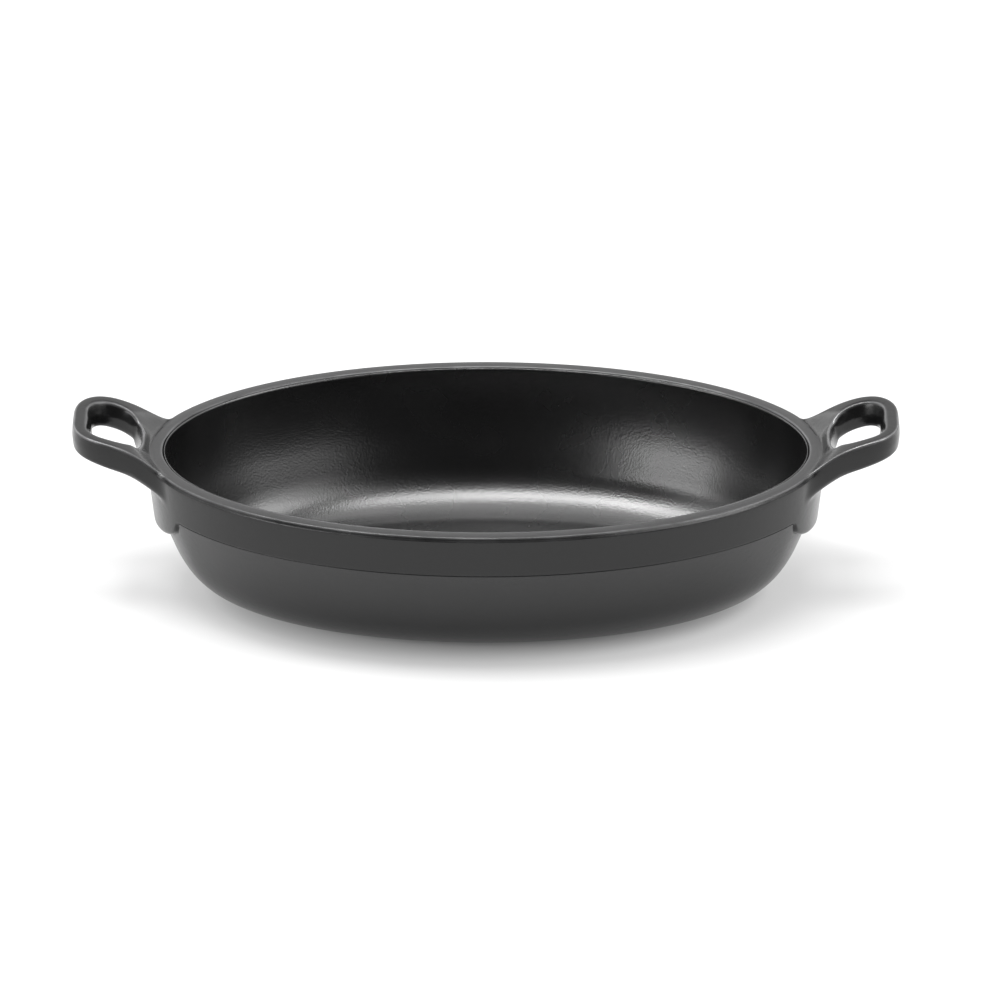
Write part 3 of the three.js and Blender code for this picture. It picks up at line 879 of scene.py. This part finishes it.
def mark_finish(mesh, form):
    """Stores what the cast finish reads: rubbed edges, ground land, lay of its streaks, and the supports."""
    places = vectors(mesh.vertices, "co")
    normals = vectors(mesh.vertex_normals, "vector")
    bend = outward_bend(mesh, places, normals)
    tight, loose = (1 / (radius * MM) for radius in WORN_RADII)
    wear = np.clip((bend - loose) / (tight - loose), 0.0, 1.0)
    x, y, height = places.T
    wear *= np.clip((height - form.band_top) / MM, 0.0, 1.0)
    across, along = y / form.half_width, x / form.half_length
    share = np.hypot(along, across)
    mean = (form.half_length + form.half_width) / 2
    inset = (1 - share) * mean
    rim = form.body.rim_height
    level = (np.abs(height - rim) < LAND_LEEWAY * MM) & (normals[:, 2] > LEVEL_NORMAL) & (share < 1.0)
    chamfer = (height > form.band_top - RIM_LEEWAY * MM) & (height < rim) & (inset < form.body.chamfer + MM)
    ground = level.astype(float)
    drawn = np.where(level | (chamfer & (share < STREAK_REACH)), 1.0, 0.0)
    wear *= np.where((share < 1.0) & (height < rim + RIM_LEEWAY * MM), RIM_WEAR, 1.0)
    turned = np.arctan2(across, along)
    lay = np.column_stack([mean * np.cos(turned), mean * np.sin(turned), mean * share + height])
    wall = form.wall_inset(height)
    reach = np.hypot(x / (form.half_length - wall), y / (form.half_width - wall))
    tongue = np.clip(((reach - 1) * mean - TONGUE_START * MM) / (TONGUE_EDGE * MM), 0.0, 1.0)
    store(mesh, tongue=tongue, wear=wear, ground=ground, drawn=drawn, lay=lay)


class PAN_OT_casting(bpy.types.Operator):
    """Builds the casting: bowl, rim, loop handles and supports in one seamless surface"""

    bl_idname = "oval_pan.casting"
    bl_label = "Cast the Pan"

    def execute(self, context):
        settings = context.scene.oval_pan
        form = PanForm(settings.body, settings.handle)
        source = placed("casting_cage", cage_mesh(form))
        smoothing = source.modifiers.new("Smoothing", "SUBSURF")
        smoothing.levels = smoothing.render_levels = settings.handle.levels
        piece = realised(source, "casting")
        mark_finish(piece.data, form)
        piece.data.materials.append(cast_material(settings.finish, form))
        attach(piece, "root")
        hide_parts(*CAST_NODES)
        return {"FINISHED"}


SOCKET_KINDS = {float: "NodeSocketFloat", int: "NodeSocketInt", bpy.types.Material: "NodeSocketMaterial"}
WALL_SHARE = 0.85
FILLET_STEPS = 16
SEAM_GAP = 1e-6


def coat_tree(sizes):
    """Node tree that sweeps a rounded profile round the oval and closes it over the floor."""
    tree = bpy.data.node_groups.new("oval_coat", "GeometryNodeTree")
    for name, value in sizes.items():
        tree.interface.new_socket(name, in_out="INPUT", socket_type=SOCKET_KINDS[type(value)])
    tree.interface.new_socket("Coat", in_out="OUTPUT", socket_type="NodeSocketGeometry")
    board = Board(tree)
    given = board.node("NodeGroupInput").output

    def corner(inset, height):
        return board.node("ShaderNodeCombineXYZ", {"X": given(inset), "Z": given(height)})

    line = board.node("GeometryNodeCurvePrimitiveQuadrilateral", {
        "Point 1": corner("Top Inset", "Top Height"), "Point 2": corner("Knee Inset", "Knee Height"),
        "Point 3": corner("Corner Inset", "Floor Height"), "Point 4": corner("Edge Inset", "Floor Height"),
    }, mode="POINTS")
    line = board.node("GeometryNodeSetSplineCyclic", {"Geometry": line, "Cyclic": False})
    index = board.node("GeometryNodeInputIndex")
    at_knee = index.math("COMPARE", index, 1.0, 0.1)
    at_corner = index.math("COMPARE", index, 2.0, 0.1)
    radius = at_knee * given("Knee Radius") + at_corner * given("Corner Radius")
    profile = board.node("GeometryNodeFilletCurve", {
        "Curve": line, "Count": FILLET_STEPS, "Radius": radius, "Limit Radius": False}, mode="POLY")
    sheet = board.node("GeometryNodeMeshGrid", {
        "Size X": 1.0, "Size Y": 1.0,
        "Vertices X": given("Rows"), "Vertices Y": given("Around")})
    place = board.node("ShaderNodeSeparateXYZ", {"Vector": board.node("GeometryNodeInputPosition")})
    down = place.output("X") + 0.5
    around = (place.output("Y") + 0.5) * math.tau
    along = down.math("MINIMUM", down / WALL_SHARE, 1.0)
    sample = board.node("GeometryNodeSampleCurve", {
        "Curves": profile, "Factor": along}, mode="FACTOR", use_all_curves=True).output("Position")
    row = board.node("ShaderNodeSeparateXYZ", {"Vector": sample})
    spread = down.math("MINIMUM", (1 - down) / (1 - WALL_SHARE), 1.0)
    x = (given("Half Length") - row.output("X")) * around.math("COSINE", around) * spread
    y = (given("Half Width") - row.output("X")) * around.math("SINE", around) * spread
    spot = board.node("ShaderNodeCombineXYZ", {"X": x, "Y": y, "Z": row.output("Z")})
    swept = board.node("GeometryNodeSetPosition", {"Geometry": sheet, "Position": spot})
    closed = board.node("GeometryNodeMergeByDistance", {"Geometry": swept, "Distance": SEAM_GAP})
    solid = board.node("GeometryNodeRealizeInstances", {"Geometry": closed})
    coated = board.node("GeometryNodeSetMaterial", {"Geometry": solid, "Material": given("Material")})
    board.node("NodeGroupOutput", {"Coat": coated})
    return tree


def coat_sizes(form, coat):
    """Inputs of the coat's tree: the visible face lies a gap and a thickness in front of the casting."""
    body = form.body
    offset = coat.gap + coat.thickness
    band_slope = (form.cavity_start - form.land_inner) / body.band_height
    wall_slope = math.tan(body.wall_draft)
    band_shift = offset * math.hypot(1.0, band_slope)
    wall_shift = offset * math.hypot(1.0, wall_slope)
    knee = form.band_foot + (wall_shift - band_shift) / (wall_slope - band_slope)
    top = body.rim_height - coat.edge_drop
    floor = body.wall_thickness + offset

    def band_line(z):
        return form.land_inner + band_shift + (body.rim_height - z) * band_slope

    corner = form.cavity_start + wall_shift + (form.band_foot - floor) * wall_slope
    radius = body.corner_radius - body.wall_thickness - offset
    edge = corner + radius * math.tan((math.pi / 2 - body.wall_draft) / 2)
    return {
        "Half Length": form.half_length, "Half Width": form.half_width,
        "Top Inset": band_line(top), "Top Height": top,
        "Knee Inset": band_line(knee), "Knee Height": knee,
        "Corner Inset": corner, "Floor Height": floor, "Edge Inset": edge + coat.thickness,
        "Knee Radius": body.knee_radius - offset, "Corner Radius": radius,
        "Rows": coat.rows, "Around": coat.around + 1,
    }


class PAN_OT_coat(bpy.types.Operator):
    """Lines the inside of the pan with its coat"""

    bl_idname = "oval_pan.coat"
    bl_label = "Coat the Inside"

    def execute(self, context):
        settings = context.scene.oval_pan
        form = PanForm(settings.body, settings.handle)
        sizes = coat_sizes(form, settings.coat)
        sizes["Material"] = coat_material(settings.finish, sizes["Floor Height"])
        tree = coat_tree(sizes)
        source = placed("coat_sweep", bpy.data.meshes.new("coat_sweep"))
        sweep = source.modifiers.new("Sweep", "NODES")
        sweep.node_group = tree
        for item in tree.interface.items_tree:
            if item.in_out == "INPUT":
                sweep[item.identifier] = sizes[item.name]
        wall = source.modifiers.new("Wall", "SOLIDIFY")
        wall.thickness = settings.coat.thickness
        wall.offset = -1.0
        piece = realised(source, "inner_coat")
        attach(piece, "root")
        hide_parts(COAT_NODE)
        return {"FINISHED"}


FLOOR_SIZE, FLOOR_CELLS = 8.0, 8
SENSOR_WIDTH = 36.0
# Softboxes higher than this lie flat, with their width along the pan.
STEEP = 60.0
# Softboxes: name, direction and height in degrees, width and height in metres, brightness.
SOFTBOXES = (
    ("top_left", 214.0, 76.0, 0.75, 0.66, 13.0),
    ("top_right", 315.0, 80.0, 0.75, 0.66, 10.5),
    ("top_back", 90.0, 74.0, 1.4, 0.75, 2.4),
    ("left_wall", 180.0, 22.0, 2.2, 1.3, 0.85),
    ("left_high", 177.0, 64.0, 0.7, 0.8, 10.0),
    ("left_core", 180.0, 48.0, 1.0, 0.6, 2.2),
    ("right_wall", 0.0, 20.0, 2.2, 1.2, 0.75),
    ("right_core", 0.0, 46.0, 1.0, 0.9, 4.6),
    ("back_wall", 90.0, 18.0, 2.2, 1.2, 0.8),
    ("back_left", 135.0, 30.0, 1.4, 1.6, 1.9),
    ("back_right", 45.0, 30.0, 1.4, 1.6, 1.5),
    ("front_left", 219.0, 20.5, 1.12, 0.6, 5.0),
    ("front_right", 325.0, 23.0, 1.3, 0.6, 1.5),
    ("front_right_high", 332.0, 45.0, 1.0, 1.0, 2.9),
)


def add_softbox(name, azimuth, elevation, width, height, brightness, radius):
    """Softbox on a sphere round the pan, facing it."""
    data = bpy.data.lights.new(name, "AREA")
    data.shape = "RECTANGLE"
    data.size, data.size_y = width, height
    data.energy = brightness * math.pi * width * height
    lamp = placed(name, data)
    turned, raised = math.radians(azimuth), math.radians(elevation)
    level = math.cos(raised)
    facing = Vector((level * math.cos(turned), level * math.sin(turned), math.sin(raised)))
    upright = Vector((0.0, 1.0, 0.0) if elevation > STEEP else (0.0, 0.0, 1.0))
    side = upright.cross(facing).normalized()
    lamp.location = radius * facing
    lamp.rotation_euler = Matrix((side, facing.cross(side), facing)).transposed().to_euler()


def lay_floor(finish):
    """Large plane that the pan stands on."""
    bm = bmesh.new()
    bmesh.ops.create_grid(bm, x_segments=FLOOR_CELLS, y_segments=FLOOR_CELLS, size=FLOOR_SIZE / 2)
    mesh = bpy.data.meshes.new("floor")
    bm.to_mesh(mesh)
    bm.free()
    mesh.materials.append(floor_material(finish))
    floor = placed("floor", mesh)


def set_camera(context, stage):
    """Long lens that takes in the frame's width at the aim, looking along +Y and down."""
    data = bpy.data.cameras.new("camera")
    data.sensor_width = SENSOR_WIDTH
    data.lens = data.sensor_width * stage.distance / stage.frame_width
    data.clip_end = 4 * stage.distance
    camera = placed("camera", data)
    aim = Vector(stage.aim)
    back = Vector((0.0, -math.cos(stage.elevation), math.sin(stage.elevation)))
    camera.location = aim + back * stage.distance
    camera.rotation_euler = (-back).to_track_quat("-Z", "Y").to_euler()
    context.scene.camera = camera


class PAN_OT_stage(bpy.types.Operator):
    """Sets the floor, the soft lights and the camera"""

    bl_idname = "oval_pan.stage"
    bl_label = "Set the Stage"

    def execute(self, context):
        settings = context.scene.oval_pan
        stage = settings.stage
        lay_floor(settings.finish)
        for *box, brightness in SOFTBOXES:
            add_softbox(*box, brightness * stage.brightness, stage.rig_radius)
        world = bpy.data.worlds.new("studio")
        context.scene.world = world
        world.use_nodes = True
        board = Board(world.node_tree)
        light = board.node("ShaderNodeBackground", {"Color": (1.0, 1.0, 1.0, 1.0), "Strength": stage.fill})
        board.node("ShaderNodeOutputWorld", {"Surface": light})
        set_camera(context, stage)
        context.scene.view_settings.view_transform = "Standard"
        return {"FINISHED"}


class PanSettings(bpy.types.PropertyGroup):
    """All settings of the pan."""

    body: group("Body", PanBodySettings)
    handle: group("Handle", PanHandleSettings)
    coat: group("Coat", PanCoatSettings)
    finish: group("Finish", PanFinishSettings)
    stage: group("Stage", PanStageSettings)


OPERATORS = (PAN_OT_casting, PAN_OT_coat, PAN_OT_stage)


class PAN_PT_sidebar(bpy.types.Panel):
    """Settings and steps of the oval pan"""

    bl_idname = "PAN_PT_sidebar"
    bl_label = "Oval Pan"
    bl_space_type = "VIEW_3D"
    bl_region_type = "UI"
    bl_category = "Oval Pan"

    def draw(self, context):
        settings = context.scene.oval_pan
        for step in OPERATORS:
            self.layout.operator(step.bl_idname)
        for name in ("body", "handle", "coat", "finish", "stage"):
            box = self.layout.box()
            box.label(text=name.title())
            values = getattr(settings, name)
            for key in values.__annotations__:
                box.prop(values, key)


CLASSES = (
    PanBodySettings, PanHandleSettings, PanCoatSettings, PanFinishSettings, PanStageSettings,
    PanSettings, *OPERATORS, PAN_PT_sidebar,
)


def register():
    """Registers the classes and hangs the settings on the scene."""
    for cls in CLASSES:
        bpy.utils.register_class(cls)
    bpy.types.Scene.oval_pan = group("Oval Pan", PanSettings)


def unregister():
    """Takes the settings and the classes away again."""
    del bpy.types.Scene.oval_pan
    for cls in reversed(CLASSES):
        bpy.utils.unregister_class(cls)


def main():
    """Builds the pan on its frame and sets the stage."""
    register()
    bpy.ops.oval_pan.casting()
    bpy.ops.oval_pan.coat()
    bpy.ops.oval_pan.stage()


if __name__ == "__main__":
    main()
